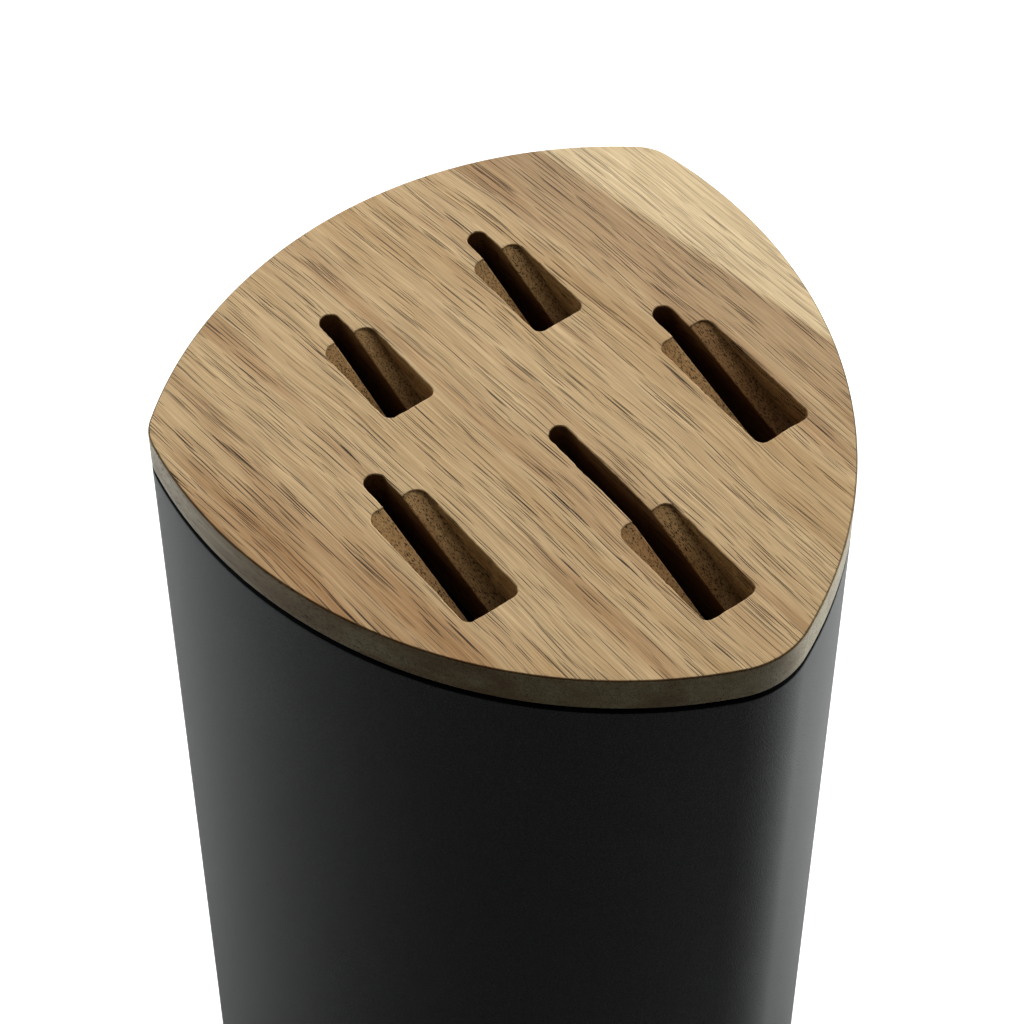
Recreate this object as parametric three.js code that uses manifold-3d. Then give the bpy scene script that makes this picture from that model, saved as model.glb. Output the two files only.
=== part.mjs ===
// Knife block: a tall canister on a rounded-triangle plan, closed by a slotted wooden lid that lifts off.
// Units are millimetres. +Z is up, the feet stand on Z = 0, and the origin is under the middle of the
// plan's bounding box. The plan mirrors about X = 0, its tip points to -Y and the slots run along Y.

import * as THREE from "three";
import { mergeVertices } from "three/addons/utils/BufferGeometryUtils.js";
import Module from "manifold-3d";

// ---- Plan outline: three round corners joined by three bulging sides ----
const REAR_CORNER_X = 58.1; // middle line to the centre of each rear corner's arc
const TIP_TO_REAR = 99; // along Y, the tip's arc centre to the rear corners' arc centres
const REAR_CORNER_RADIUS = 10.9;
const TIP_RADIUS = 19.8;
const FLANK_RADIUS = 107; // the two sides that meet at the tip
const REAR_RADIUS = 100.6; // the side opposite the tip

// ---- Heights ----
const TOTAL_HEIGHT = 250;
const FOOT_STANDOFF = 2.5; // floor to the canister's lower edge
const LID_EDGE = 9.4; // the part of the board that shows above the canister
const LID_GAP = 1.2; // shadow line between the canister's rim and the board
const BOARD_THICKNESS = 16; // edge plus the plug that sinks into the collar
const GUIDE_HEIGHT = 122; // floor to the underside of the blade guide

// ---- Walls and clearances ----
const WALL = 2.4;
const RIM_ROUND = 0.8;
const TOUCH = 0.3; // gap left between pieces that bear on each other
const SLIDE_CLEARANCE = 0.4; // between the lid's collar and the canister's wall
const COLLAR_WALL = 1.6;
const COLLAR_SETBACK = 1.1; // how far the collar's flange stays inside the outline
const LUG_RADIUS = 4.5;
const LUG_THICKNESS = 1.8;
const BASE_THICKNESS = 4;
const GUIDE_THICKNESS = 3;
const GUIDE_SLOT_WIDTH = 8;
const GUIDE_SLOT_EXTRA = 1; // each end of a guide slot, past the end of the lid's slot
const BOARD_ROUND = 0.6;
const BOSS_RADIUS = 4.6;
const BOSS_ROOT = 0.7; // how deep a boss or a lug is sunk into the wall that carries it

// ---- Slots in the lid ----
const SLOT_WIDTH = 4.8;
const SLOT_END_RADIUS = 1.2; // corners at the deep end
const POCKET_START_RADIUS = 2.6;
const POCKET_END_RADIUS = 2;
const RAMP_START_DEPTH = 0.3;
const RAMP_END_DEPTH = 10;
// x: centre line. end: from the tip's arc centre to the slot's deep end, along Y.
const SLOTS = [
  { x: -19.8, end: 76.6, length: 31.9, pocketLength: 24.3, pocketWidth: 12.7 },
  { x: 19.8, end: 76.6, length: 31.9, pocketLength: 24.3, pocketWidth: 12.7 },
  { x: -38.1, end: 24.3, length: 42.9, pocketLength: 34.3, pocketWidth: 13.8 },
  { x: 38.1, end: 24.3, length: 42.9, pocketLength: 34.3, pocketWidth: 13.8 },
  { x: 0, end: -4.3, length: 58.6, pocketLength: 29, pocketWidth: 13.8 },
];

// ---- Fasteners and feet ----
const SCREW_RADIUS = 1.6;
const SCREW_HEAD_RADIUS = 2.9;
const SCREW_HEAD_HEIGHT = 1.9;
const SCREW_LENGTH = 8; // under the head
const RECESS_ARM = 3.2;
const RECESS_WIDTH = 0.8;
const RECESS_DEPTH = 1.1;
const HOLE_CLEARANCE = 0.3; // on the radius of every screw and foot hole
const PILOT_SPARE = 1; // depth of a pilot hole past the screw's point
const LID_SCREW_LENGTH = 5.5;
const FLANK_STATION = 0.7; // along a flank, from the tip, where its fasteners stand
const FOOT_RADIUS = 8;
const FOOT_INSET = 19.5; // outline to the centre of a foot
const FOOT_STEM_RADIUS = 3;
const FOOT_EDGE_ROUND = 0.7;

const ARC_SEGMENTS = 8; // half the facets of each arc of an outline
const BAR_SEGMENTS = 2; // half the facets of each corner of a slot or pocket
const ROUND_SEGMENTS = 16; // screws, bosses and their holes
const FOOT_SEGMENTS = 32;
const CUT_EXTRA = 1; // how far a cutter runs past the face it cuts

// ---- Levels worked out from the heights above ----
const SHELL_TOP = TOTAL_HEIGHT - LID_EDGE - LID_GAP;
const BOARD_SEAT = TOTAL_HEIGHT - LID_EDGE;
const BOARD_BOTTOM = TOTAL_HEIGHT - BOARD_THICKNESS;
const LUG_TOP = BOARD_BOTTOM - TOUCH;
const LUG_BOTTOM = LUG_TOP - LUG_THICKNESS;
const BASE_TOP = FOOT_STANDOFF + BASE_THICKNESS;
const BOSS_BOTTOM = BASE_TOP + TOUCH;
const BOSS_TOP = GUIDE_HEIGHT - TOUCH;

// ---- Insets from the outline ----
const COLLAR_OUTSIDE = WALL + SLIDE_CLEARANCE;
const COLLAR_INSIDE = COLLAR_OUTSIDE + COLLAR_WALL;
const PLUG_INSET = COLLAR_INSIDE + TOUCH;
const LUG_INSET = COLLAR_INSIDE + LUG_RADIUS - BOSS_ROOT;
const BOSS_INSET = WALL + BOSS_RADIUS - BOSS_ROOT;
const PLATE_INSET = WALL + TOUCH;

const wasm = await Module();
wasm.setup();

// ---- Solids ----
function solidOf(geometry) {
  geometry.deleteAttribute("normal");
  geometry.deleteAttribute("uv");
  const merged = mergeVertices(geometry, 1e-4);
  return new wasm.Manifold(
    new wasm.Mesh({
      numProp: 3,
      vertProperties: merged.attributes.position.array,
      triVerts: new Uint32Array(merged.index.array),
    }),
  );
}

function prism(shape, bottom, top, curveSegments = ARC_SEGMENTS) {
  const settings = { depth: top - bottom, bevelEnabled: false, curveSegments };
  return solidOf(new THREE.ExtrudeGeometry(shape, settings).translate(0, 0, bottom));
}

// A prism whose upper and lower edges are rounded inside the shape's own size.
function roundedPrism(shape, bottom, top, round) {
  const settings = {
    depth: top - bottom - 2 * round,
    bevelThickness: round,
    bevelSize: round,
    bevelOffset: -round,
    bevelSegments: 2,
    curveSegments: ARC_SEGMENTS,
  };
  return solidOf(new THREE.ExtrudeGeometry(shape, settings).translate(0, 0, bottom + round));
}

function cylinder(radius, bottom, top, [x, y]) {
  const geometry = new THREE.CylinderGeometry(radius, radius, top - bottom, ROUND_SEGMENTS);
  return solidOf(geometry.rotateX(Math.PI / 2).translate(x, y, (top + bottom) / 2));
}

// A solid of revolution about Z from [radius, height] pairs, starting and ending on the axis.
function turned(profile, segments) {
  const points = profile.map(([radius, height]) => new THREE.Vector2(radius, height));
  return solidOf(new THREE.LatheGeometry(points, segments).rotateX(Math.PI / 2));
}

// ---- The plan ----
const CORNERS = {
  tip: { centre: new THREE.Vector2(0, 0), radius: TIP_RADIUS },
  right: { centre: new THREE.Vector2(REAR_CORNER_X, TIP_TO_REAR), radius: REAR_CORNER_RADIUS },
  left: { centre: new THREE.Vector2(-REAR_CORNER_X, TIP_TO_REAR), radius: REAR_CORNER_RADIUS },
};

// The centre of an arc of the given radius that touches two corner arcs from outside, going anticlockwise.
function sideCentre(from, to, radius) {
  const chord = to.centre.clone().sub(from.centre);
  const length = chord.length();
  const reachFrom = radius - from.radius;
  const reachTo = radius - to.radius;
  const along = (reachFrom ** 2 - reachTo ** 2 + length ** 2) / (2 * length);
  const across = Math.sqrt(reachFrom ** 2 - along ** 2);
  const direction = chord.divideScalar(length);
  const inward = new THREE.Vector2(-direction.y, direction.x);
  return from.centre.clone().addScaledVector(direction, along).addScaledVector(inward, across);
}

const SIDES = {
  rightFlank: { from: CORNERS.tip, to: CORNERS.right, radius: FLANK_RADIUS },
  rear: { from: CORNERS.right, to: CORNERS.left, radius: REAR_RADIUS },
  leftFlank: { from: CORNERS.left, to: CORNERS.tip, radius: FLANK_RADIUS },
};
for (const side of Object.values(SIDES)) side.centre = sideCentre(side.from, side.to, side.radius);

// The plan's front and rear limits set where its middle is, so that the origin falls there.
const REAR_LIMIT = SIDES.rear.centre.y + REAR_RADIUS;
const TIP_Y = (TIP_RADIUS - REAR_LIMIT) / 2;
for (const part of [...Object.values(CORNERS), ...Object.values(SIDES)]) part.centre.y += TIP_Y;

function directionOf(vector) {
  return Math.atan2(vector.y, vector.x);
}

// Where a side's arc begins and ends, as angles about the side's centre.
function sideAngles({ from, to, centre }) {
  const start = directionOf(from.centre.clone().sub(centre));
  const end = directionOf(to.centre.clone().sub(centre));
  const sweep = THREE.MathUtils.euclideanModulo(end - start, 2 * Math.PI);
  return { start, sweep };
}

// The outline moved inwards by an inset: every arc keeps its centre and loses the inset from its radius.
function outline(inset) {
  const shape = new THREE.Shape();
  const order = [SIDES.rightFlank, SIDES.rear, SIDES.leftFlank];
  order.forEach((side, index) => {
    const { start, sweep } = sideAngles(side);
    const next = sideAngles(order[(index + 1) % order.length]);
    shape.absarc(side.centre.x, side.centre.y, side.radius - inset, start, start + sweep, false);
    const corner = side.to;
    shape.absarc(corner.centre.x, corner.centre.y, corner.radius - inset, start + sweep, next.start, false);
  });
  return shape;
}

function ring(outerInset, innerInset, bottom, top) {
  const hole = prism(outline(innerInset), bottom - CUT_EXTRA, top + CUT_EXTRA);
  return prism(outline(outerInset), bottom, top).subtract(hole);
}

// A point on a side, a share of the way along its arc and an inset inside the outline.
function sidePoint(side, share, inset) {
  const { start, sweep } = sideAngles(side);
  const angle = start + share * sweep;
  const reach = side.radius - inset;
  return [side.centre.x + reach * Math.cos(angle), side.centre.y + reach * Math.sin(angle)];
}

// A point on a corner, an inset inside the outline, in line with the middle of the plan.
function cornerPoint({ centre, radius }, inset) {
  const angle = directionOf(centre);
  const reach = radius - inset;
  return [centre.x + reach * Math.cos(angle), centre.y + reach * Math.sin(angle)];
}

const cornerStations = (inset) => Object.values(CORNERS).map((corner) => cornerPoint(corner, inset));
const stations = (inset) => [
  ...cornerStations(inset),
  sidePoint(SIDES.rightFlank, FLANK_STATION, inset),
  sidePoint(SIDES.rear, 1 / 2, inset),
  sidePoint(SIDES.leftFlank, 1 - FLANK_STATION, inset),
];

// ---- Slots ----
// A bar along Y from low to high with its own corner radius at each end.
function bar(x, low, high, width, lowRadius, highRadius) {
  const half = width / 2;
  const shape = new THREE.Shape();
  shape.absarc(x - half + lowRadius, low + lowRadius, lowRadius, Math.PI, 1.5 * Math.PI, false);
  shape.absarc(x + half - lowRadius, low + lowRadius, lowRadius, 1.5 * Math.PI, 2 * Math.PI, false);
  shape.absarc(x + half - highRadius, high - highRadius, highRadius, 0, 0.5 * Math.PI, false);
  shape.absarc(x - half + highRadius, high - highRadius, highRadius, 0.5 * Math.PI, Math.PI, false);
  return shape;
}

function slotCut({ x, end, length }) {
  const low = TIP_Y + end;
  const shape = bar(x, low, low + length, SLOT_WIDTH, SLOT_END_RADIUS, SLOT_WIDTH / 2);
  return prism(shape, BOARD_BOTTOM - CUT_EXTRA, TOTAL_HEIGHT + CUT_EXTRA, BAR_SEGMENTS);
}

// The wider pocket over a slot: its floor slopes down from just under the board's face to the deep end.
function pocketCut({ x, end, pocketLength, pocketWidth }) {
  const low = TIP_Y + end;
  const high = low + pocketLength;
  const above = TOTAL_HEIGHT + CUT_EXTRA;
  const plan = bar(x, low, high, pocketWidth, POCKET_END_RADIUS, POCKET_START_RADIUS);
  const side = new THREE.Shape([
    new THREE.Vector2(low, TOTAL_HEIGHT - RAMP_END_DEPTH),
    new THREE.Vector2(high, TOTAL_HEIGHT - RAMP_START_DEPTH),
    new THREE.Vector2(high, above),
    new THREE.Vector2(low, above),
  ]);
  const wedge = new THREE.ExtrudeGeometry(side, { depth: pocketWidth, bevelEnabled: false });
  const alongX = new THREE.Matrix4().makeBasis(
    new THREE.Vector3(0, 1, 0),
    new THREE.Vector3(0, 0, 1),
    new THREE.Vector3(1, 0, 0),
  );
  const slope = solidOf(wedge.applyMatrix4(alongX).translate(x - pocketWidth / 2, 0, 0));
  return prism(plan, TOTAL_HEIGHT - RAMP_END_DEPTH - CUT_EXTRA, above, BAR_SEGMENTS).intersect(slope);
}

function guideCut({ x, end, length }) {
  const low = TIP_Y + end - GUIDE_SLOT_EXTRA;
  const high = TIP_Y + end + length + GUIDE_SLOT_EXTRA;
  const radius = GUIDE_SLOT_WIDTH / 2;
  const shape = bar(x, low, high, GUIDE_SLOT_WIDTH, radius, radius);
  return prism(shape, GUIDE_HEIGHT - CUT_EXTRA, GUIDE_HEIGHT + GUIDE_THICKNESS + CUT_EXTRA, BAR_SEGMENTS);
}

// ---- Pieces ----
const HOLE_RADIUS = SCREW_RADIUS + HOLE_CLEARANCE;
const HEAD_HOLE_RADIUS = SCREW_HEAD_RADIUS + HOLE_CLEARANCE;
const HEAD_HOLE_DEPTH = SCREW_HEAD_HEIGHT + HOLE_CLEARANCE;
const BASE_SCREW_SEAT = FOOT_STANDOFF + HEAD_HOLE_DEPTH; // where a base screw's head bears
const GUIDE_SCREW_SEAT = GUIDE_HEIGHT + GUIDE_THICKNESS + TOUCH;

function canister() {
  const outside = roundedPrism(outline(0), FOOT_STANDOFF, SHELL_TOP, RIM_ROUND);
  const inside = prism(outline(WALL), FOOT_STANDOFF - CUT_EXTRA, SHELL_TOP + CUT_EXTRA);
  let shell = outside.subtract(inside);
  const lowerPilotEnd = BASE_SCREW_SEAT + SCREW_LENGTH + PILOT_SPARE;
  const upperPilotEnd = GUIDE_SCREW_SEAT - SCREW_LENGTH - PILOT_SPARE;
  for (const place of stations(BOSS_INSET)) {
    shell = shell.add(cylinder(BOSS_RADIUS, BOSS_BOTTOM, BOSS_TOP, place));
    shell = shell.subtract(cylinder(HOLE_RADIUS, BOSS_BOTTOM - CUT_EXTRA, lowerPilotEnd, place));
  }
  for (const place of cornerStations(BOSS_INSET)) {
    shell = shell.subtract(cylinder(HOLE_RADIUS, upperPilotEnd, BOSS_TOP + CUT_EXTRA, place));
  }
  return shell;
}

function basePlate() {
  let plate = prism(outline(PLATE_INSET), FOOT_STANDOFF, BASE_TOP);
  for (const place of stations(BOSS_INSET)) {
    plate = plate.subtract(cylinder(HOLE_RADIUS, FOOT_STANDOFF - CUT_EXTRA, BASE_TOP + CUT_EXTRA, place));
    plate = plate.subtract(cylinder(HEAD_HOLE_RADIUS, FOOT_STANDOFF - CUT_EXTRA, BASE_SCREW_SEAT, place));
  }
  for (const place of cornerStations(FOOT_INSET)) {
    const radius = FOOT_STEM_RADIUS + HOLE_CLEARANCE;
    plate = plate.subtract(cylinder(radius, FOOT_STANDOFF - CUT_EXTRA, BASE_TOP + CUT_EXTRA, place));
  }
  return plate;
}

function bladeGuide() {
  const top = GUIDE_HEIGHT + GUIDE_THICKNESS;
  let plate = prism(outline(PLATE_INSET + SLIDE_CLEARANCE), GUIDE_HEIGHT, top);
  for (const slot of SLOTS) plate = plate.subtract(guideCut(slot));
  for (const place of cornerStations(BOSS_INSET)) {
    plate = plate.subtract(cylinder(HOLE_RADIUS, GUIDE_HEIGHT - CUT_EXTRA, top + CUT_EXTRA, place));
  }
  return plate;
}

// The black ring that carries the board: a thin flange over the rim, a skirt inside it and lugs below.
function collar() {
  const flangeTop = BOARD_SEAT - TOUCH;
  const flange = ring(COLLAR_SETBACK, COLLAR_INSIDE, SHELL_TOP + TOUCH, flangeTop);
  const skirt = ring(COLLAR_OUTSIDE, COLLAR_INSIDE, LUG_BOTTOM, flangeTop);
  let band = flange.add(skirt);
  for (const place of stations(LUG_INSET)) {
    band = band.add(cylinder(LUG_RADIUS, LUG_BOTTOM, LUG_TOP, place));
    band = band.subtract(cylinder(HOLE_RADIUS, LUG_BOTTOM - CUT_EXTRA, LUG_TOP + CUT_EXTRA, place));
  }
  return band;
}

function board() {
  const edge = roundedPrism(outline(0), BOARD_SEAT, TOTAL_HEIGHT, BOARD_ROUND);
  const plug = prism(outline(PLUG_INSET), BOARD_BOTTOM, BOARD_SEAT + BOARD_ROUND);
  let wood = edge.add(plug);
  for (const slot of SLOTS) wood = wood.subtract(slotCut(slot)).subtract(pocketCut(slot));
  const pilotEnd = LUG_BOTTOM - TOUCH + LID_SCREW_LENGTH + PILOT_SPARE;
  for (const place of stations(LUG_INSET)) {
    wood = wood.subtract(cylinder(HOLE_RADIUS, BOARD_BOTTOM - CUT_EXTRA, pilotEnd, place));
  }
  return wood;
}

// A pan-head screw with a cross recess. The head bears on Z = 0 and the shank points to -Z.
function screw(length) {
  const crown = SCREW_HEAD_HEIGHT / 3;
  const body = turned(
    [
      [0, -length],
      [SCREW_RADIUS / 2, -length],
      [SCREW_RADIUS, -length + SCREW_RADIUS],
      [SCREW_RADIUS, 0],
      [SCREW_HEAD_RADIUS, 0],
      [SCREW_HEAD_RADIUS, SCREW_HEAD_HEIGHT - crown],
      [SCREW_HEAD_RADIUS - crown, SCREW_HEAD_HEIGHT],
      [0, SCREW_HEAD_HEIGHT],
    ],
    ROUND_SEGMENTS,
  );
  const middle = SCREW_HEAD_HEIGHT - RECESS_DEPTH / 2 + CUT_EXTRA / 2;
  const arm = (alongX, alongY) =>
    solidOf(new THREE.BoxGeometry(alongX, alongY, RECESS_DEPTH + CUT_EXTRA).translate(0, 0, middle));
  return body.subtract(arm(RECESS_ARM, RECESS_WIDTH)).subtract(arm(RECESS_WIDTH, RECESS_ARM));
}

// A rubber foot: a pad under the base and a stem that plugs into it.
function foot() {
  const padTop = FOOT_STANDOFF - TOUCH;
  const lip = FOOT_EDGE_ROUND;
  return turned(
    [
      [0, 0],
      [FOOT_RADIUS - lip, 0],
      [FOOT_RADIUS, lip],
      [FOOT_RADIUS, padTop],
      [FOOT_STEM_RADIUS, padTop],
      [FOOT_STEM_RADIUS, BASE_TOP - lip],
      [FOOT_STEM_RADIUS - lip, BASE_TOP],
      [0, BASE_TOP],
    ],
    FOOT_SEGMENTS,
  );
}

// ---- Assembly ----
function finish(color, roughness, metalness = 0) {
  return new THREE.MeshStandardMaterial({ color, roughness, metalness });
}

const acacia = finish(0xb08a5e, 0.55);
const shellBlack = finish(0x1f2021, 0.5);
const mouldedBlack = finish(0x141414, 0.6);
const rubberGrey = finish(0x26262a, 0.9);
const steel = finish(0x9a9b9d, 0.35, 1);

function geometryOf(solid) {
  const { vertProperties, triVerts } = solid.getMesh();
  const geometry = new THREE.BufferGeometry();
  geometry.setAttribute("position", new THREE.BufferAttribute(vertProperties, 3));
  geometry.setIndex(new THREE.BufferAttribute(triVerts, 1));
  geometry.computeVertexNormals();
  return geometry;
}

function piece(name, geometry, material) {
  const mesh = new THREE.Mesh(geometry, material);
  mesh.name = name;
  return mesh;
}

// Copies of one geometry at several places in the plan, at one height, some of them turned head down.
function copies(name, geometry, material, places, height, headDown = false) {
  return places.map(([x, y], index) => {
    const mesh = piece(`${name}_${index + 1}`, geometry, material);
    mesh.position.set(x, y, height);
    if (headDown) mesh.rotation.x = Math.PI;
    return mesh;
  });
}

const longScrew = geometryOf(screw(SCREW_LENGTH));
const lidScrew = geometryOf(screw(LID_SCREW_LENGTH));
const footPad = geometryOf(foot());

const stand = new THREE.Group();
stand.add(
  piece("canister_shell", geometryOf(canister()), shellBlack),
  piece("base_plate", geometryOf(basePlate()), mouldedBlack),
  piece("blade_guide", geometryOf(bladeGuide()), mouldedBlack),
  ...copies("base_screw", longScrew, steel, stations(BOSS_INSET), BASE_SCREW_SEAT - TOUCH, true),
  ...copies("guide_screw", longScrew, steel, cornerStations(BOSS_INSET), GUIDE_SCREW_SEAT),
  ...copies("foot", footPad, rubberGrey, cornerStations(FOOT_INSET), 0),
);

const lid = new THREE.Group();
lid.add(
  piece("lid_board", geometryOf(board()), acacia),
  piece("lid_collar", geometryOf(collar()), mouldedBlack),
  ...copies("lid_screw", lidScrew, steel, stations(LUG_INSET), LUG_BOTTOM - TOUCH, true),
);

const knifeBlock = new THREE.Group();
knifeBlock.add(stand, lid);

export default knifeBlock;
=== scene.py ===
"""Looks of the knife block: a black canister and an acacia lid with five knife slots, in a pale studio.

The block's own shapes are worked out in millimetres, as in the CAD source, and become metres when a mesh is
made. The studio and the camera are in metres.
"""

import math

import bmesh
import bpy
import numpy as np
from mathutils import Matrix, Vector, noise
from mathutils.geometry import delaunay_2d_cdt


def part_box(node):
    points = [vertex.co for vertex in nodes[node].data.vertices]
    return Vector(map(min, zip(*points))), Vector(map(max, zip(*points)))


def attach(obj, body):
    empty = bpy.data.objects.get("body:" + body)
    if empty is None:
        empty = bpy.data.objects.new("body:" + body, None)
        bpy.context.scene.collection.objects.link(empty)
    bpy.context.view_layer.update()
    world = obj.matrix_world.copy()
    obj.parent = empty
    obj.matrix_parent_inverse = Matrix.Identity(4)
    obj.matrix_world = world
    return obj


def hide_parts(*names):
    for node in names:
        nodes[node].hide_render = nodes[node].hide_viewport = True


MM = 0.001

# ---- Sizes repeated from the CAD source, in millimetres ----
REAR_CORNER_X = 58.1
TIP_TO_REAR = 99.0
REAR_CORNER_RADIUS = 10.9
TIP_RADIUS = 19.8
FLANK_RADIUS = 107.0
REAR_RADIUS = 100.6
LID_EDGE = 9.4
WALL = 2.4
RIM_ROUND = 0.8
BOARD_ROUND = 0.6
PLUG_INSET = 4.7
SLOT_WIDTH = 4.8
SLOT_END_RADIUS = 1.2
POCKET_START_RADIUS = 2.6
POCKET_END_RADIUS = 2.0
RAMP_START_DEPTH = 0.3
RAMP_END_DEPTH = 10.0
BOSS_RADIUS = 4.6
BOSS_ROOT = 0.7  # how deep a boss is sunk into the wall
FLANK_STATION = 0.7  # along a flank, from the tip, where its fasteners stand
TOUCH = 0.3  # gap left between pieces that bear on each other
# x of the slot, its deep end from the tip's arc centre, its length, pocket length, pocket width
SLOTS = [
    (-19.8, 76.6, 31.9, 24.3, 12.7),
    (19.8, 76.6, 31.9, 24.3, 12.7),
    (-38.1, 24.3, 42.9, 34.3, 13.8),
    (38.1, 24.3, 42.9, 34.3, 13.8),
    (0.0, -4.3, 58.6, 29.0, 13.8),
]

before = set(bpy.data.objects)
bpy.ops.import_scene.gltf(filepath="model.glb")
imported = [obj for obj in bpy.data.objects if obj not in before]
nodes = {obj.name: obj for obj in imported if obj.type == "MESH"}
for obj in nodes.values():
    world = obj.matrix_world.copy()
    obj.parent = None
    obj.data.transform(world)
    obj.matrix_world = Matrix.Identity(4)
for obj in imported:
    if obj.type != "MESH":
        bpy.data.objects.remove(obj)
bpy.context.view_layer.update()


def heights(node):
    """A CAD node's lowest and highest level, in millimetres."""
    low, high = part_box(node)
    return low.z / MM, high.z / MM


BOARD_BOTTOM, BOARD_TOP = heights("lid_board")
SHELL_BOTTOM, SHELL_TOP = heights("canister_shell")
BASE_TOP = heights("base_plate")[1]
GUIDE_BOTTOM = heights("blade_guide")[0]
BOARD_SEAT = BOARD_TOP - LID_EDGE


# ---- The plan outline ----
SIDE_STEPS = 72
CORNER_STEPS = 32


def side_centre(start, start_radius, end, end_radius, radius):
    """Centre of the wide arc that runs anticlockwise from one corner arc to the next, tangent to both."""
    chord = end - start
    length = np.linalg.norm(chord)
    reach_start, reach_end = radius - start_radius, radius - end_radius
    along = (reach_start**2 - reach_end**2 + length**2) / (2 * length)
    across = math.sqrt(reach_start**2 - along**2)
    direction = chord / length
    inward = np.array([-direction[1], direction[0]])
    return start + along * direction + across * inward


def heading(vector):
    return math.atan2(vector[1], vector[0])


def unit(angle):
    return np.array([math.cos(angle), math.sin(angle)])


def plan_arcs():
    """The outline's six arcs, anticlockwise from the right flank: centre, radius, first and last angle."""
    tip = (np.array([0.0, 0.0]), TIP_RADIUS)
    right = (np.array([REAR_CORNER_X, TIP_TO_REAR]), REAR_CORNER_RADIUS)
    left = (np.array([-REAR_CORNER_X, TIP_TO_REAR]), REAR_CORNER_RADIUS)
    sides = [(tip, right, FLANK_RADIUS), (right, left, REAR_RADIUS), (left, tip, FLANK_RADIUS)]
    centres = [side_centre(*start, *end, radius) for start, end, radius in sides]
    rear_limit = centres[1][1] + REAR_RADIUS
    shift = np.array([0.0, (TIP_RADIUS - rear_limit) / 2])
    spans = []
    for centre, (start, end, _) in zip(centres, sides):
        first = heading(start[0] - centre)
        sweep = (heading(end[0] - centre) - first) % (2 * math.pi)
        spans.append((first, first + sweep))
    arcs = []
    for index, (_, (corner, corner_radius), radius) in enumerate(sides):
        first, last = spans[index]
        turn = (spans[(index + 1) % 3][0] - last) % (2 * math.pi)
        arcs.append((centres[index] + shift, radius, first, last))
        arcs.append((corner + shift, corner_radius, last, last + turn))
    return arcs, shift[1]


ARCS, TIP_Y = plan_arcs()
# The arcs' places in ARCS.
RIGHT_FLANK, RIGHT_CORNER, REAR, LEFT_CORNER, LEFT_FLANK, TIP = range(6)


def outline(inset):
    """The outline moved inwards, as points in millimetres, anticlockwise."""
    points = []
    for index, (centre, radius, first, last) in enumerate(ARCS):
        steps = SIDE_STEPS if index in (RIGHT_FLANK, REAR, LEFT_FLANK) else CORNER_STEPS
        angles = np.linspace(first, last, steps, endpoint=False)
        points.append(centre + (radius - inset) * np.stack([np.cos(angles), np.sin(angles)], 1))
    return np.concatenate(points)


# ---- Mesh building ----
WELD_DISTANCE = 3e-6


class Builder:
    """Collects points in millimetres and faces with a material number, and welds them into one mesh."""

    def __init__(self):
        self.points, self.faces, self.kinds = [], [], []

    def add(self, points, faces, kind=0):
        base = len(self.points)
        self.points.extend(tuple(map(float, p)) for p in points)
        self.faces.extend([base + i for i in face] for face in faces)
        self.kinds.extend([kind] * len(faces))

    def strip(self, rings, kind=0, closed=True, flip=False):
        """Quads between neighbouring rings of equally many 3-D points."""
        count = len(rings[0])
        faces = []
        for row in range(len(rings) - 1):
            for i in range(count if closed else count - 1):
                j = (i + 1) % count
                a, b = row * count + i, row * count + j
                face = [a, b, b + count, a + count]
                faces.append(face[::-1] if flip else face)
        self.add(np.concatenate(rings), faces, kind)

    def patch(self, loops, height, kind=0, extra=(), flip=False):
        """A triangulated sheet inside the first loop and outside the others, through the extra points."""
        flat, edges = [], []
        for loop in loops:
            base = len(flat)
            flat.extend(Vector(p) for p in loop)
            edges.extend((base + i, base + (i + 1) % len(loop)) for i in range(len(loop)))
        flat.extend(Vector(p) for p in extra)
        points, _, triangles, _, _, _ = delaunay_2d_cdt(flat, edges, [], 0, 1e-7)
        points = np.array([tuple(p) for p in points])
        triangles = np.array([tuple(t) for t in triangles])
        middle = points[triangles].mean(1)
        inside = inside_loop(middle, loops[0])
        for loop in loops[1:]:
            inside &= ~inside_loop(middle, loop)
        triangles = triangles[inside]
        solid = np.column_stack([points, height(points)])
        self.add(solid, [t[::-1] if flip else t for t in triangles.tolist()], kind)

    def mesh(self, name, warp=None):
        points = np.array(self.points)
        if warp is not None:
            points = warp(points)
        mesh = bpy.data.meshes.new(name)
        mesh.from_pydata((points * MM).tolist(), [], self.faces)
        mesh.polygons.foreach_set("material_index", self.kinds)
        weld(mesh)
        return mesh


def weld(mesh):
    """Joins points that coincide, drops points without faces, and turns every face outwards."""
    work = bmesh.new()
    work.from_mesh(mesh)
    bmesh.ops.remove_doubles(work, verts=work.verts, dist=WELD_DISTANCE)
    loose = [v for v in work.verts if not v.link_faces]
    bmesh.ops.delete(work, geom=loose, context="VERTS")
    bmesh.ops.recalc_face_normals(work, faces=work.faces)
    work.to_mesh(mesh)
    work.free()


def inside_loop(points, loop):
    """Even-odd test of many points against one closed loop."""
    loop = np.asarray(loop)
    x, y = points[:, 0], points[:, 1]
    inside = np.zeros(len(points), bool)
    for (x0, y0), (x1, y1) in zip(loop, np.roll(loop, -1, 0)):
        if y0 == y1:
            continue
        crosses = (y0 > y) != (y1 > y)
        inside ^= crosses & (x < (x1 - x0) * (y - y0) / (y1 - y0) + x0)
    return inside


def distance_to_line(points, line, batch=4000):
    """Shortest distance of each 2-D point to a closed polyline, worked out in batches to save memory."""
    points, line = np.asarray(points, float), np.asarray(line, float)
    start, along = line, np.roll(line, -1, 0) - line
    squared_length = np.maximum((along**2).sum(1), 1e-12)
    best = np.empty(len(points))
    for low in range(0, len(points), batch):
        away = points[low : low + batch, None, :] - start[None]
        share = np.clip((away * along).sum(2) / squared_length, 0, 1)
        gap = away - share[:, :, None] * along
        best[low : low + batch] = np.sqrt((gap**2).sum(2).min(1))
    return best


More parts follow.
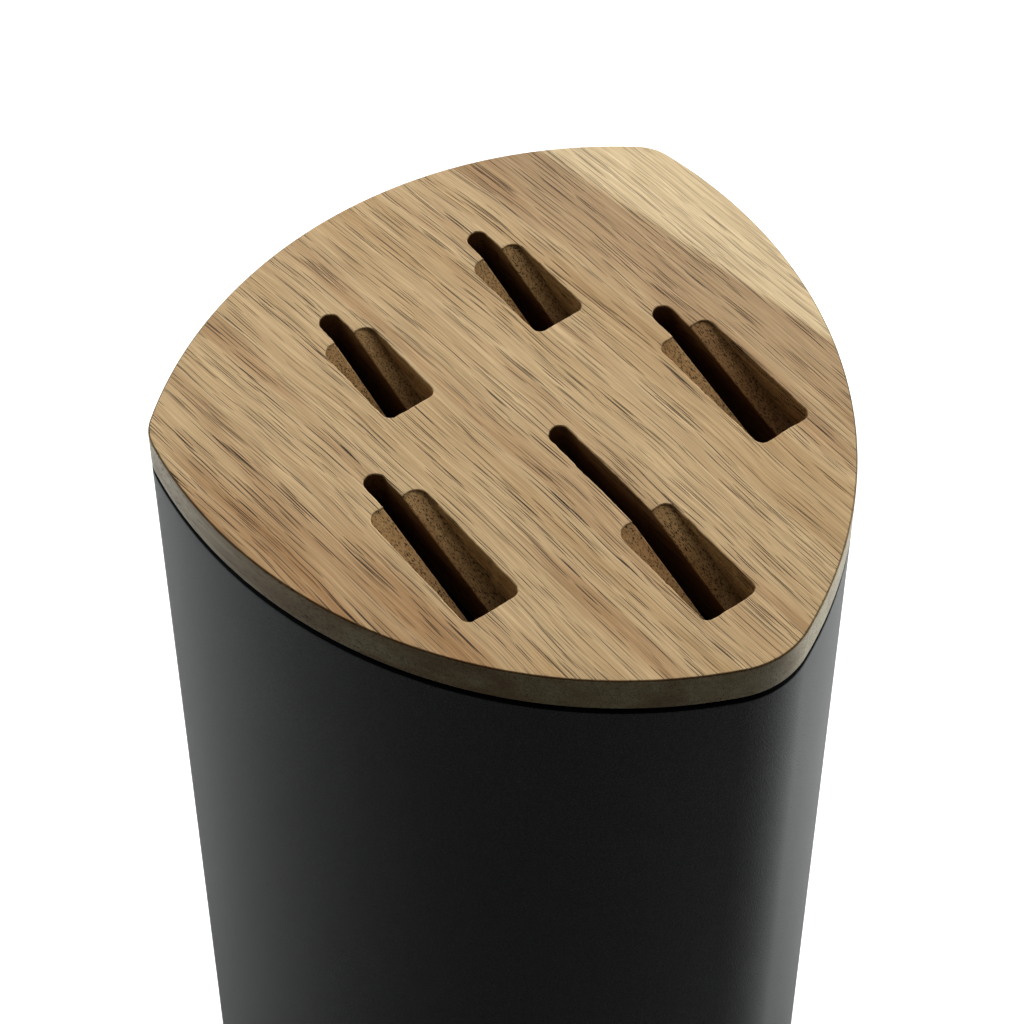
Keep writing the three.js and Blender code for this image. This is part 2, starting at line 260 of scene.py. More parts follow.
def level(points, z):
    """2-D points lifted to one height."""
    return np.column_stack([points, np.full(len(points), z)])


def at_level(z):
    """A height function for a flat sheet."""
    return lambda points: np.full(len(points), z)


def offset(loop, distance):
    """A closed anticlockwise loop moved outwards, with mitred corners."""
    before, after = np.roll(loop, 1, 0), np.roll(loop, -1, 0)

    def outward(vector):
        direction = vector / np.linalg.norm(vector, axis=1, keepdims=True)
        return np.stack([direction[:, 1], -direction[:, 0]], 1)

    first, second = outward(loop - before), outward(after - loop)
    scale = 1 + (first * second).sum(1, keepdims=True)
    return loop + distance * (first + second) / scale


def arc_points(centre, radius, first, last, steps):
    angles = np.radians(np.linspace(first, last, steps + 1))
    return np.asarray(centre) + radius * np.stack([np.cos(angles), np.sin(angles)], 1)


def line_points(start, end, step):
    count = max(2, int(math.dist(start, end) / step) + 1)
    return np.linspace(start, end, count)


def tidy_line(*parts):
    """Joins polylines and drops repeated points."""
    line = np.concatenate(parts)
    keep = np.ones(len(line), bool)
    keep[1:] = np.linalg.norm(np.diff(line, axis=0), axis=1) > 1e-6
    return line[keep]


def rounding(radius, steps=4):
    """(inset, drop) pairs of a quarter round, from the wall to the face."""
    for angle in np.linspace(0, math.pi / 2, steps + 1):
        yield radius * (1 - math.cos(angle)), radius * (1 - math.sin(angle))


# ---- The lid's board ----
# Material numbers on the board's mesh.
FACE, EDGE, RAMP, DEEP, UNDER, ARRIS = range(6)
EASE = 0.28  # broken edge round every cut
EASE_SHARES = (0.12, 0.35, 0.65, 1.0, 1.3)  # rows of points beside the slot, as shares of EASE from it
STEP = 0.8  # spacing of points along the long edges of a cut
FINE_STEP = 0.15  # spacing of points along the short ends of a pocket
QUARTER_STEPS = 8
SMALL_QUARTER_STEPS = 6
CLEARANCE = 0.02  # least distance of a row's points from their patch's outline
TOP_ROUND_STEPS = 9
DARK_STEPS = (3, 7)  # steps of the top round that the darker arris takes
WANDER = 0.16  # how far the hand-guided router wandered
WANDER_FADE = 1.5  # distance from a cut at which the wander has fallen to about a third
WANDER_LIMIT = 3  # distance beyond which points stay where they are
WANDER_SEED = 1  # without a seed, Blender's noise vectors differ from run to run
COARSE_WAVES = (0.35, 0.35, 0.1)
FINE_WAVES = (1.3, 1.3, 0.25)
FINE_SHARE = 0.7


class Cut:
    """A knife slot through the board, with the wider pocket that slopes down to its deep end."""

    def __init__(self, x, end, length, pocket_length, pocket_width):
        half, wide = SLOT_WIDTH / 2, pocket_width / 2
        start_r, end_r, round_r = POCKET_START_RADIUS, POCKET_END_RADIUS, SLOT_END_RADIUS
        low = TIP_Y + end
        high, far = low + pocket_length, low + length
        self.low, self.high = low, high

        def mirrored(line):
            return line[::-1] * [-1, 1] + [2 * x, 0]

        # Beyond the pocket, from the right of the slot round its far end to the left.
        self.beyond = tidy_line(
            line_points((x + half, high), (x + half, far - half), STEP),
            arc_points((x, far - half), half, 0, 180, 2 * QUARTER_STEPS),
            line_points((x - half, far - half), (x - half, high), STEP),
        )
        # The first point past the slot's edge stays clear of the eased corner.
        self.left_rim = tidy_line(
            np.array([(x - half, high)]),
            line_points((x - half - 1.5 * EASE, high), (x - wide + start_r, high), FINE_STEP),
            arc_points((x - wide + start_r, high - start_r), start_r, 90, 180, QUARTER_STEPS),
            line_points((x - wide, high - start_r), (x - wide, low + end_r), STEP),
            arc_points((x - wide + end_r, low + end_r), end_r, 180, 270, QUARTER_STEPS),
            line_points((x - wide + end_r, low), (x - half + round_r, low), FINE_STEP),
        )
        self.floor_end = line_points((x - half + round_r, low), (x + half - round_r, low), STEP)
        self.left_slot = tidy_line(
            arc_points((x - half + round_r, low + round_r), round_r, 270, 180, SMALL_QUARTER_STEPS),
            line_points((x - half, low + round_r), (x - half, high), STEP),
        )
        self.right_rim = mirrored(self.left_rim)
        self.right_slot = mirrored(self.left_slot)
        self.rim = tidy_line(self.beyond, self.left_rim, self.floor_end, self.right_rim)[:-1]
        slot_sides = (self.left_slot[::-1], self.floor_end, self.right_slot[::-1])
        self.throat = tidy_line(self.beyond, *slot_sides)[:-1]

    def floor(self, points):
        """Height of the sloping floor, with a rounded edge along the slot."""
        share = (points[:, 1] - self.low) / (self.high - self.low)
        ramp = BOARD_TOP - RAMP_END_DEPTH + share * (RAMP_END_DEPTH - RAMP_START_DEPTH)
        short = np.clip(EASE - distance_to_line(points, self.throat), 0, EASE)
        return ramp - EASE + np.sqrt(EASE**2 - short**2)

    def on_floor(self, line):
        return np.column_stack([line, self.floor(line)])

    def build(self, work):
        """Adds the eased edge, the walls and the floor's two wings, left and right of the slot."""
        rings = [level(offset(self.rim, i), BOARD_TOP - d) for i, d in rounding(EASE)]
        work.strip(rings, FACE, flip=True)
        top = BOARD_TOP - EASE
        for line, corner in ((self.beyond, self.beyond[-1:]), (self.floor_end, self.floor_end[:1])):
            bend = self.floor(corner)[0]
            work.strip([level(line, z) for z in (top, bend, BOARD_BOTTOM)], DEEP, closed=False)
        left = (self.left_rim, self.left_slot, -1)
        right = (self.right_rim, self.right_slot, 1)
        for rim, slot, side in (left, right):
            work.strip([level(rim, top), self.on_floor(rim)], RAMP, closed=False)
            work.strip([self.on_floor(slot), level(slot, BOARD_BOTTOM)], DEEP, closed=False)
            wing = tidy_line(rim, slot)[:-1]
            rows = np.concatenate([slot + [side * share * EASE, 0] for share in EASE_SHARES])
            clear = inside_loop(rows, wing) & (distance_to_line(rows, wing) > CLEARANCE)
            work.patch([wing], self.floor, RAMP, extra=rows[clear])


def wander(points, rims):
    """Moves points near the cuts a little sideways, as a hand-guided router leaves them."""
    noise.seed_set(WANDER_SEED)
    near = np.full(len(points), np.inf)
    for rim in rims:
        low, high = rim.min(0) - WANDER_LIMIT, rim.max(0) + WANDER_LIMIT
        inside = np.all((points[:, :2] > low) & (points[:, :2] < high), 1)
        near[inside] = distance_to_line(points[inside, :2], rim)
    for index in np.nonzero(near < WANDER_LIMIT)[0]:
        coarse = noise.noise_vector(Vector(points[index] * COARSE_WAVES))
        fine = noise.noise_vector(Vector(points[index] * FINE_WAVES))
        reach = WANDER * math.exp(-((near[index] / WANDER_FADE) ** 2))
        points[index, 0] += reach * (coarse.x + FINE_SHARE * fine.x)
        points[index, 1] += reach * (coarse.y + FINE_SHARE * fine.y)
    return points


def make_board():
    work = Builder()
    top_round = rounding(BOARD_ROUND, TOP_ROUND_STEPS)
    outer = [level(outline(i), BOARD_TOP - d) for i, d in top_round]
    seat = [level(outline(i), BOARD_SEAT + d) for i, d in rounding(BOARD_ROUND)]
    first, last = DARK_STEPS
    work.strip(seat[::-1] + [outer[0]], EDGE)
    work.strip(outer[: first + 1], EDGE)
    work.strip(outer[first : last + 1], ARRIS)
    work.strip(outer[last:], FACE)
    plug = outline(PLUG_INSET)
    work.patch([outline(BOARD_ROUND), plug], at_level(BOARD_SEAT), UNDER, flip=True)
    work.strip([level(plug, BOARD_BOTTOM), level(plug, BOARD_SEAT)], UNDER)
    cuts = [Cut(*slot) for slot in SLOTS]
    for cut in cuts:
        cut.build(work)
    openings = [offset(cut.rim, EASE) for cut in cuts]
    work.patch([outline(BOARD_ROUND)] + openings, at_level(BOARD_TOP), FACE)
    work.patch([plug] + [cut.throat for cut in cuts], at_level(BOARD_BOTTOM), UNDER, flip=True)
    return work.mesh("board_wood", lambda points: wander(points, [cut.rim for cut in cuts]))


# ---- The canister ----
# Material numbers on the canister's mesh.
WALL_COAT, RIM_GAP_SHADE = range(2)
RIM_STEPS = 6
INNER_RIM_STEPS = 3
INNER_RIM_SHARE = 0.4  # the inner edge of the rim is rounded less than the outer one
COATED_RIM_STEPS = 2  # steps of the outer round that still show the wall's coat
POST_CHAMFER = 0.3
POST_SIDES = 48


def station_points(inset):
    """The six places round the wall where fasteners stand."""
    places = []
    for index in (TIP, RIGHT_CORNER, LEFT_CORNER):
        centre, radius = ARCS[index][:2]
        places.append(centre + (radius - inset) * unit(heading(centre)))
    for index, share in ((RIGHT_FLANK, FLANK_STATION), (REAR, 0.5), (LEFT_FLANK, 1 - FLANK_STATION)):
        centre, radius, first, last = ARCS[index]
        places.append(centre + (radius - inset) * unit(first + share * (last - first)))
    return places


def make_shell():
    work = Builder()
    foot = [(i, SHELL_BOTTOM + d) for i, d in rounding(RIM_ROUND, RIM_STEPS)]
    rim = [(i, SHELL_TOP - d) for i, d in rounding(RIM_ROUND, RIM_STEPS)]
    inner_round = rounding(RIM_ROUND * INNER_RIM_SHARE, INNER_RIM_STEPS)
    inner_rim = [(WALL - i, SHELL_TOP - d) for i, d in inner_round]
    profile = foot[::-1] + rim + inner_rim[::-1] + [(WALL, SHELL_BOTTOM)]
    rings = [level(outline(i), z) for i, z in profile]
    # The rim's top, hidden under the lid, has a near-black material of its own: painted shade of the gap
    # under the lid.
    first = len(foot) + COATED_RIM_STEPS
    last = len(foot) + len(rim) + len(inner_rim) - 1
    work.strip(rings[: first + 1], WALL_COAT)
    work.strip(rings[first : last + 1], RIM_GAP_SHADE)
    work.strip(rings[last:] + rings[:1], WALL_COAT)
    return work.mesh("canister_body")


def make_posts():
    """The screw bosses inside the wall, each closed by a flat cap at both ends."""
    work = Builder()
    low, high = BASE_TOP + TOUCH, GUIDE_BOTTOM - TOUCH
    profile = [
        (POST_CHAMFER, low),
        (0, low + POST_CHAMFER),
        (0, high - POST_CHAMFER),
        (POST_CHAMFER, high),
    ]
    for centre in station_points(WALL + BOSS_RADIUS - BOSS_ROOT):
        rings = []
        for inset, z in profile:
            rings.append(level(arc_points(centre, BOSS_RADIUS - inset, 0, 360, POST_SIDES)[:-1], z))
        work.strip(rings)
        work.add(rings[0], [list(range(POST_SIDES))[::-1]])
        work.add(rings[-1], [list(range(POST_SIDES))])
    return work.mesh("canister_posts")


# ---- Pieces and the bodies they ride on ----
SHARP_ANGLE = math.radians(32)
CREASE_ANGLE = math.radians(28)


def even_normals(piece):
    weighted = piece.modifiers.new("even_normals", "WEIGHTED_NORMAL")
    weighted.keep_sharp = True


def place(name, mesh, body, materials, replaced=()):
    """Links a mesh as a piece that rides on a body and takes the place of the replaced CAD nodes."""
    piece = bpy.data.objects.new(name, mesh)
    bpy.context.scene.collection.objects.link(piece)
    for material in materials:
        mesh.materials.append(material)
    mesh.shade_smooth()
    mesh.set_sharp_from_angle(angle=SHARP_ANGLE)
    even_normals(piece)
    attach(piece, body)
    if replaced:
        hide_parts(*replaced)


def finish_node(node, material):
    """Gives a CAD node its material and crisp edges, and leaves its mesh alone."""
    node.data.materials.clear()
    node.data.materials.append(material)
    split = node.modifiers.new("crease", "EDGE_SPLIT")
    split.split_angle = CREASE_ANGLE
    even_normals(node)


# ---- Material graphs ----
class Graph:
    """A material's node tree, built by short calls that return sockets, with places in millimetres."""

    def __init__(self, name):
        self.material = bpy.data.materials.new(name)
        self.material.use_nodes = True
        self.tree = self.material.node_tree
        self.tree.nodes.clear()
        output = self.node("ShaderNodeOutputMaterial")
        self.shader = self.node("ShaderNodeBsdfPrincipled")
        self.tree.links.new(self.shader.outputs["BSDF"], output.inputs["Surface"])
        spot = self.node("ShaderNodeTexCoord")
        self.place = self.vector("SCALE", spot.outputs["Object"], scale=1 / MM)

    def node(self, kind, **settings):
        made = self.tree.nodes.new(kind)
        for key, value in settings.items():
            setattr(made, key, value)
        return made

    def feed(self, socket, value):
        """Links a socket to another one, or sets it to a plain value."""
        if isinstance(value, bpy.types.NodeSocket):
            self.tree.links.new(value, socket)
        else:
            socket.default_value = value

    def finish(self, specular=0.5, metallic=0.0, **values):
        """Sets the shader's inputs and returns the material."""
        self.shader.inputs["Specular IOR Level"].default_value = specular
        self.shader.inputs["Metallic"].default_value = metallic
        for name, value in values.items():
            self.feed(self.shader.inputs[name.replace("_", " ")], value)
        return self.material

    def vector(self, operation, a, b=None, scale=None):
        made = self.node("ShaderNodeVectorMath", operation=operation)
        self.feed(made.inputs[0], a)
        if b is not None:
            self.feed(made.inputs[1], b)
        if scale is not None:
            self.feed(made.inputs["Scale"], scale)
        return made.outputs["Vector"]

    def math(self, operation, a, b, c=None):
        made = self.node("ShaderNodeMath", operation=operation)
        self.feed(made.inputs[0], a)
        self.feed(made.inputs[1], b)
        if c is not None:
            self.feed(made.inputs[2], c)
        return made.outputs[0]

    def add(self, a, b):
        return self.math("ADD", a, b)

    def times(self, a, b):
        return self.math("MULTIPLY", a, b)

    def most(self, a, b):
        return self.math("MAXIMUM", a, b)

    def line(self, value, slope, start):
        """Slope times the value, plus start."""
        return self.math("MULTIPLY_ADD", value, slope, start)

    def sway(self, value, width):
        """Turns a value of 0 to 1 into a shift of up to half the width either way."""
        return self.line(value, width, -width / 2)

    def parts(self, vector):
        made = self.node("ShaderNodeSeparateXYZ")
        self.feed(made.inputs[0], vector)
        return made.outputs

    def join(self, x, y, z):
        made = self.node("ShaderNodeCombineXYZ")
        for socket, value in zip(made.inputs, (x, y, z)):
            self.feed(socket, value)
        return made.outputs[0]

    def noise(self, vector, scale, detail=2.0, roughness=0.5, distortion=0.0):
        """Soft noise, with scale features per millimetre along each axis."""
        made = self.node("ShaderNodeTexNoise")
        self.feed(made.inputs["Vector"], self.vector("MULTIPLY", vector, scale))
        self.feed(made.inputs["Scale"], 1.0)
        self.feed(made.inputs["Detail"], detail)
        self.feed(made.inputs["Roughness"], roughness)
        self.feed(made.inputs["Distortion"], distortion)
        return made.outputs["Fac"]

    def cells(self, vector, scale):
        """Random cells, scale of them per millimetre: distance to a cell's middle, and its own number."""
        made = self.node("ShaderNodeTexVoronoi", feature="F1")
        self.feed(made.inputs["Vector"], self.vector("MULTIPLY", vector, scale))
        self.feed(made.inputs["Scale"], 1.0)
        return made.outputs["Distance"], self.parts(made.outputs["Color"])[0]

    def fade(self, value, low, high, start=0.0, end=1.0):
        """A smooth step from start to end while value goes from low to high."""
        made = self.node("ShaderNodeMapRange", interpolation_type="SMOOTHSTEP")
        names = ("Value", "From Min", "From Max", "To Min", "To Max")
        for name, number in zip(names, (value, low, high, start, end)):
            self.feed(made.inputs[name], number)
        return made.outputs["Result"]

    def mix(self, share, a, b, blend="MIX"):
        """Goes from colour a to colour b, whose sockets are the sixth and seventh of the node."""
        made = self.node("ShaderNodeMix", data_type="RGBA", blend_type=blend)
        self.feed(made.inputs["Factor"], share)
        self.feed(made.inputs[6], a)
        self.feed(made.inputs[7], b)
        return made.outputs[2]

    def ramp(self, value, stops):
        """A colour ramp through (position, sRGB colour) stops."""
        made = self.node("ShaderNodeValToRGB")
        ramp = made.color_ramp
        while len(ramp.elements) < len(stops):
            ramp.elements.new(0.5)
        for element, (position, rgb) in zip(ramp.elements, stops):
            element.position = position
            element.color = colour(*rgb)
        self.feed(made.inputs[0], value)
        return made.outputs["Color"]

    def shade(self, tone, value, low, high, dark, light):
        """Multiplies a colour by dark where value is low and by light where it is high."""
        made = self.node("ShaderNodeMapRange", data_type="FLOAT_VECTOR")
        self.feed(made.inputs[6], self.join(value, value, value))
        for socket, number in zip(made.inputs[7:11], ((low,) * 3, (high,) * 3, dark, light)):
            self.feed(socket, number)
        return self.mix(1.0, tone, made.outputs[1], "MULTIPLY")

    def bump(self, height, strength, distance):
        made = self.node("ShaderNodeBump")
        self.feed(made.inputs["Strength"], strength)
        self.feed(made.inputs["Distance"], distance * MM)
        self.feed(made.inputs["Height"], height)
        return made.outputs["Normal"]


def colour(red, green, blue):
    """Linear colour with full opacity from sRGB values of 0 to 255."""
    linear = []
    for value in (red, green, blue):
        share = value / 255
        linear.append(share / 12.92 if share <= 0.04045 else ((share + 0.055) / 1.055) ** 2.4)
    return (*linear, 1.0)


# ---- Acacia ----
# sRGB colours of the wood, and of the painted shade deep in its cuts.
HEARTWOOD = [
    (0.32, (148, 114, 74)),
    (0.43, (168, 137, 98)),
    (0.52, (184, 157, 117)),
    (0.62, (177, 148, 107)),
    (0.72, (160, 128, 86)),
]
FLUSH = (146, 108, 66)
BELT = (150, 121, 88)
SAPWOOD = (204, 181, 143)
PORE = (26, 15, 7)
CUT_PORE = (50, 33, 20)
DEEP_SHADE_COLOUR = (30, 19, 11)
# Pores of three lengths: cells per millimetre, shift, half the pore's width in cells, share left out.
PORE_LAYERS = [
    ((3.1, 0.042, 3.1), (0.0, 0.0, 0.0), 0.33, 0.38),
    ((2.5, 0.065, 2.5), (37.0, 11.0, 3.0), 0.26, 0.42),
    ((1.8, 0.028, 1.8), (31.0, 57.0, 5.0), 0.2, 0.2),
]
# Places and widths in millimetres.
FIBRE_LEAN = 0.06  # how far the fibres run sideways per millimetre, near the board's middle
FIBRE_BEND = 0.00025  # makes them lean more towards the rear
FLUSH_START, FLUSH_FULL = -44.0, -62.0
FLUSH_SLANT = 0.25
SAPWOOD_X = 58.3  # where the sapwood's border crosses the X axis
SAPWOOD_SLANT = 0.178  # how far it moves to the left per millimetre towards the rear
BELT_WIDTH = 26.0
DEEP_SHADE_DEPTHS = (3.0, 10.0)  # below the face, where the painted shade sets in and is full


def fibre_place(g):
    """Place in the solid wood as across, along and through its fibres, which lean and wander."""
    x, y, z = g.parts(g.place)
    # The fibres lean about five degrees at the rear and straighten towards the tip.
    lean = g.times(y, g.line(y, FIBRE_BEND, FIBRE_LEAN))
    drift = g.noise(g.place, (0.022, 0.011, 0.022))
    ripple = g.noise(g.place, (0.12, 0.03, 0.12))
    across = g.add(g.add(x, lean), g.sway(drift, 5.0))
    across = g.add(across, g.sway(ripple, 1.2))
    return g.join(across, y, z)


def wood_zones(g, grain):
    """Shares of the warm flush at the left, the sapwood at the right rear and the darker belt beside it."""
    x, y, _ = g.parts(g.place)
    slanted = g.add(g.parts(grain)[0], g.times(y, FLUSH_SLANT))
    flush = g.fade(slanted, FLUSH_START, FLUSH_FULL)
    streak = g.noise(grain, (0.2, 0.012, 0.2))
    flush = g.times(flush, g.fade(streak, 0.35, 0.62))
    past_border = g.add(x, g.line(y, SAPWOOD_SLANT, -SAPWOOD_X))
    feather = g.noise(grain, (0.9, 0.03, 0.9), 3.0)
    past_border = g.add(past_border, g.sway(feather, 4.0))
    belt = g.times(g.fade(past_border, -BELT_WIDTH, -3.0), g.fade(past_border, 1.0, -1.0))
    sapwood = g.fade(past_border, -1.2, 1.6)
    return flush, sapwood, belt


def pore_share(g, grain, sapwood, belt):
    """Dark vessels, far longer than they are wide, in crowded and bare zones, and the crowding itself."""
    pores = 0.0
    for scale, shift, wide, left_out in PORE_LAYERS:
        gap, pick = g.cells(g.vector("ADD", grain, shift), scale)
        chosen = g.fade(pick, left_out, left_out + 0.12)
        pores = g.most(pores, g.times(g.fade(gap, wide, wide * 0.8), chosen))
    zone = g.noise(grain, (0.16, 0.015, 0.16))
    crowd = g.most(g.fade(zone, 0.32, 0.6, 0.6, 1.0), belt)
    crowd = g.times(crowd, g.line(sapwood, -0.4, 1.0))
    return g.times(pores, crowd), crowd


def acacia(
    name,
    tint=(1, 1, 1),
    pore_depth=1.0,
    roughness=0.5,
    relief=1.0,
    specular=0.1,
    dots=0.0,
    deep_shade=0.0,
):
    """Solid acacia, whose fibres run along Y: every cut shows the same pores from another side."""
    g = Graph(name)
    grain = fibre_place(g)
    flush, sapwood, belt = wood_zones(g, grain)

    # Broad bands of heartwood, about a centimetre wide, and the zones over them.
    bands = g.noise(grain, (0.085, 0.006, 0.085), 3.0, 0.55, 0.3)
    tone = g.ramp(bands, HEARTWOOD)
    tone = g.mix(g.times(flush, 0.75), tone, colour(*FLUSH))
    tone = g.mix(g.times(belt, 0.6), tone, colour(*BELT))
    tone = g.mix(sapwood, tone, colour(*SAPWOOD))

    # Fine light and dark fibres.
    threads = g.noise(grain, (1.5, 0.022, 1.5), 4.0, 0.6)
    tone = g.shade(tone, threads, 0.3, 0.7, dark=(0.82, 0.79, 0.75), light=(1.12, 1.13, 1.14))
    fuzz = g.noise(grain, (4.2, 0.07, 4.2), 2.0, 0.6)
    tone = g.shade(tone, fuzz, 0.3, 0.7, dark=(0.80, 0.77, 0.72), light=(1.17, 1.18, 1.20))

    # Pores, with fainter hairlines between them.
    pores, crowd = pore_share(g, grain, sapwood, belt)
    hairs = g.noise(grain, (4.6, 0.04, 4.6), 2.0, 0.55)
    hairs = g.times(g.fade(hairs, 0.56, 0.64), g.times(crowd, 0.4))
    inked = g.times(g.most(pores, hairs), 0.98 * pore_depth)
    tone = g.mix(inked, tone, colour(*PORE))

    # Where the fibres are cut short, the vessels show as dots.
    spot, pick = g.cells(g.place, (2.3, 1.6, 2.3))
    dot = g.times(g.fade(spot, 0.34, 0.2), g.fade(pick, 0.25, 0.4, 0.0, dots))
    tone = g.mix(dot, tone, colour(*CUT_PORE))
    tone = g.mix(1.0, tone, (*tint, 1.0), "MULTIPLY")

    # Painted shade: the cuts grow darker with depth below the face, towards their bottoms.
    shallow, deep = (BOARD_TOP - depth for depth in DEEP_SHADE_DEPTHS)
    deep_shaded = g.fade(g.parts(g.place)[2], shallow, deep, 0.0, deep_shade)
    tone = g.mix(deep_shaded, tone, colour(*DEEP_SHADE_COLOUR))
    return g.finish(
        specular=specular,
        Base_Color=tone,
        Roughness=g.line(pores, 0.2, g.line(threads, -0.12, roughness + 0.06)),
        Normal=g.bump(g.math("SUBTRACT", g.times(fuzz, 0.35), pores), 0.3 * relief, 0.06),
    )


# ---- Coat, plastic, rubber and steel ----
def powder_black():
    """Near-black powder coat with a fine, even grain."""
    g = Graph("canister_black")
    cloud = g.noise(g.place, (0.05, 0.05, 0.02), 3.0)
    speck = g.noise(g.place, (3.2, 3.2, 3.2), 3.0, 0.7)
    base = g.mix(g.fade(speck, 0.35, 0.75), colour(34, 35, 37), colour(92, 93, 96))
    base = g.mix(g.times(cloud, 0.3), base, colour(24, 25, 26))
    pits, _ = g.cells(g.place, (2.6, 2.6, 2.6))
    return g.finish(
        specular=0.38,
        Base_Color=base,
        Roughness=g.line(speck, 0.3, 0.3),
        Normal=g.bump(g.add(speck, g.times(pits, 0.6)), 0.7, 0.12),
    )


def moulded_black(name, tone, roughness, specular=0.5):
    """Moulded plastic with a light spark texture."""
    g = Graph(name)
    grit = g.noise(g.place, (4.0, 4.0, 4.0), 3.0, 0.6)
    wear = g.noise(g.place, (0.15, 0.15, 0.15), 3.0)
    light = (value * 1.6 for value in tone)
    return g.finish(
        specular=specular,
        Base_Color=g.mix(g.fade(grit, 0.35, 0.8), colour(*tone), colour(*light)),
        Roughness=g.line(wear, 0.2, roughness - 0.1),
        Normal=g.bump(grit, 0.3, 0.05),
    )


def rubber_grey():
    """Matt grey rubber with a rough skin."""
    g = Graph("foot_rubber")
    grit = g.noise(g.place, (2.5, 2.5, 2.5), 4.0, 0.7)
    return g.finish(
        Base_Color=g.mix(grit, colour(30, 30, 32), colour(52, 52, 54)),
        Roughness=g.line(grit, 0.2, 0.72),
        Normal=g.bump(grit, 0.4, 0.08),
    )


def screw_steel():
    """Bright steel with drawn scratches along it and faint stains."""
    g = Graph("screw_steel")
    scratch = g.noise(g.place, (9.0, 1.2, 9.0), 3.0, 0.6)
    stain = g.noise(g.place, (0.8, 0.8, 0.8))
    return g.finish(
        metallic=1.0,
        Base_Color=g.mix(stain, colour(196, 197, 199), colour(160, 161, 164)),
        Roughness=g.line(scratch, 0.25, 0.2),
        Normal=g.bump(scratch, 0.25, 0.03),
    )


# ---- The block ----
# In the order of the board's material numbers.
board_materials = [
    acacia("acacia_face"),
    # The side edge is tinted cooler than the face: painted tint of the greenish light that falls on the
    # sides.
    acacia("acacia_edge_painted_light", tint=(0.84, 0.98, 1.02), pore_depth=0.8, roughness=0.4, specular=0.75),
    acacia("acacia_ramp", tint=(0.66, 0.56, 0.42), roughness=0.62, relief=1.6, dots=0.85, deep_shade=0.5),
    # The slot walls are tinted far darker than the face: painted shade of the deep, narrow slots.
    acacia("acacia_slot_painted_shade", tint=(0.36, 0.26, 0.18), pore_depth=0.8, roughness=0.6, deep_shade=0.4),
    acacia("acacia_under", tint=(0.85, 0.82, 0.78)),
    acacia("acacia_arris", tint=(0.34, 0.30, 0.25), pore_depth=0.7),
]
black = powder_black()
# A near-black, dull rim: painted shade of the gap between the lid and the canister.
rim_gap_shade = moulded_black("rim_gap_shade", (9, 9, 10), 0.8, 0.08)
moulded = moulded_black("moulded_black", (16, 16, 17), 0.5)
steel = screw_steel()

place("board_wood", make_board(), "lid", board_materials, ["lid_board"])
place("canister_body", make_shell(), "stand", [black, rim_gap_shade], ["canister_shell"])
place("canister_posts", make_posts(), "stand", [black])

KEPT = {
    # The collar is black plastic, made darker and duller than the other mouldings as painted shade of the
    # gap under the lid.
    "lid_collar": moulded_black("collar_black_gap_shade", (7, 7, 8), 0.85, 0.05),
    "base_plate": moulded,
    "blade_guide": moulded,
    "foot": rubber_grey(),
    "base_screw": steel,
    "guide_screw": steel,
    "lid_screw": steel,
}
for name, node in nodes.items():
    stem = name.rstrip("0123456789").rstrip("_")
    if stem in KEPT:
        finish_node(node, KEPT[stem])

# ---- Studio ----
# Directions seen from the camera: it stands at azimuth VIEW_TURN from -Y, towards -X.
VIEW_TURN = math.radians(37.47)
AWAY = Vector((math.sin(VIEW_TURN), math.cos(VIEW_TURN), 0.0))
RIGHT = Vector((math.cos(VIEW_TURN), -math.sin(VIEW_TURN), 0.0))
UP = Vector((0.0, 0.0, 1.0))

DOME_RADIUS = 18.0
DOME_GLOW = 1.05
FLOOR_RADIUS = 17.9
FLOOR_SHADE = 0.6
FLOOR_GLOW = 0.75
PAPER_RADIUS = 3.0
PAPER_SINK = 0.0005
DISC_SIDES = 96
FILL_STRENGTH = 0.13
# Name, place (right, away, up), height aimed at, width and height, watts, colour.
SOFTBOXES = [
    ("back_light", (0.0, 1.5, 1.15), 0.1, (2.2, 1.1), 44, (1.0, 1.0, 1.0)),
    ("top_light", (0.0, 0.9, 1.7), 0.2, (1.2, 0.8), 6, (1.0, 1.0, 1.0)),
    ("left_light", (-1.55, 0.85, 0.6), 0.1, (0.9, 1.0), 16, (0.94, 1.0, 0.98)),
    ("right_light", (1.5, 1.0, 0.6), 0.1, (0.6, 1.0), 31, (0.95, 1.0, 0.95)),
]


def backdrop_white(glow):
    material = bpy.data.materials.new("backdrop_white")
    material.use_nodes = True
    tree = material.node_tree
    tree.nodes.clear()
    output = tree.nodes.new("ShaderNodeOutputMaterial")
    emission = tree.nodes.new("ShaderNodeEmission")
    emission.inputs["Color"].default_value = (1.0, 1.0, 1.0, 1.0)
    emission.inputs["Strength"].default_value = glow
    tree.links.new(emission.outputs[0], output.inputs["Surface"])
    return material


def matt_paper(name):
    material = bpy.data.materials.new(name)
    material.use_nodes = True
    shader = material.node_tree.nodes["Principled BSDF"]
    shader.inputs["Roughness"].default_value = 0.9
    shader.inputs["Specular IOR Level"].default_value = 0.0
    return material, shader


def floor_white(shade, glow):
    """Paper with a little light of its own, so that it stays pale in the object's shadow."""
    material, shader = matt_paper("floor_white")
    shader.inputs["Base Color"].default_value = (shade, shade, shade, 1.0)
    shader.inputs["Emission Color"].default_value = (1.0, 1.0, 1.0, 1.0)
    shader.inputs["Emission Strength"].default_value = glow
    return material


